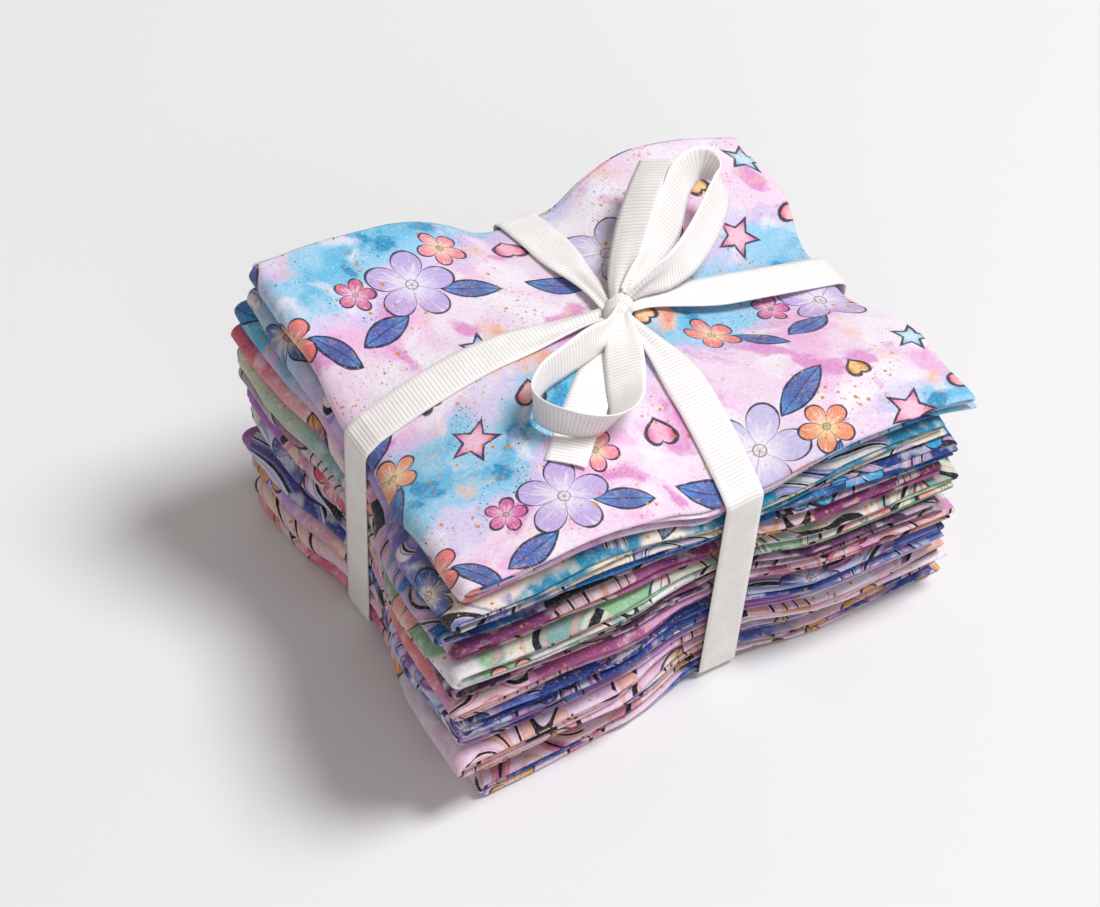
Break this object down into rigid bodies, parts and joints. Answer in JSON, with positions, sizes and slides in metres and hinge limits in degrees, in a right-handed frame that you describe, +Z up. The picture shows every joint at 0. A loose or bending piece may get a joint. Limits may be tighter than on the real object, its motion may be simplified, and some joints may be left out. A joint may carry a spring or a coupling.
{
  "type": "fat quarter bundle",
  "caption": "Stack of folded printed cotton fat quarters, tied both ways round with one white grosgrain ribbon in a bow on top.",
  "frame": {"origin": "middle of the bundle's box at the surface that it rests on", "axes": "+X along the long sides of the stack, +Y along its short sides, +Z up"},
  "size_m": [0.1496, 0.1169, 0.0848],
  "materials": {
    "print_01": "matt printed plain-weave cotton",
    "print_02": "matt printed plain-weave cotton",
    "print_03": "matt printed plain-weave cotton",
    "print_04": "matt printed plain-weave cotton",
    "print_05": "matt printed plain-weave cotton",
    "print_06": "matt printed plain-weave cotton",
    "print_07": "matt printed plain-weave cotton",
    "print_08": "matt printed plain-weave cotton",
    "print_09": "matt printed plain-weave cotton",
    "print_10": "matt printed plain-weave cotton",
    "print_11": "matt printed plain-weave cotton",
    "print_12": "matt printed plain-weave cotton",
    "ribbon": "white ribbed grosgrain, slightly glossy"
  },
  "bodies": {
    "root": {"fat_quarter_01": "print_01", "fat_quarter_02": "print_02", "fat_quarter_03": "print_03", "fat_quarter_04": "print_04", "fat_quarter_05": "print_05", "fat_quarter_06": "print_06", "fat_quarter_07": "print_07", "fat_quarter_08": "print_08", "fat_quarter_09": "print_09", "fat_quarter_10": "print_10", "fat_quarter_11": "print_11", "fat_quarter_12": "print_12", "ribbon": "ribbon"}
  },
  "joints": []
}
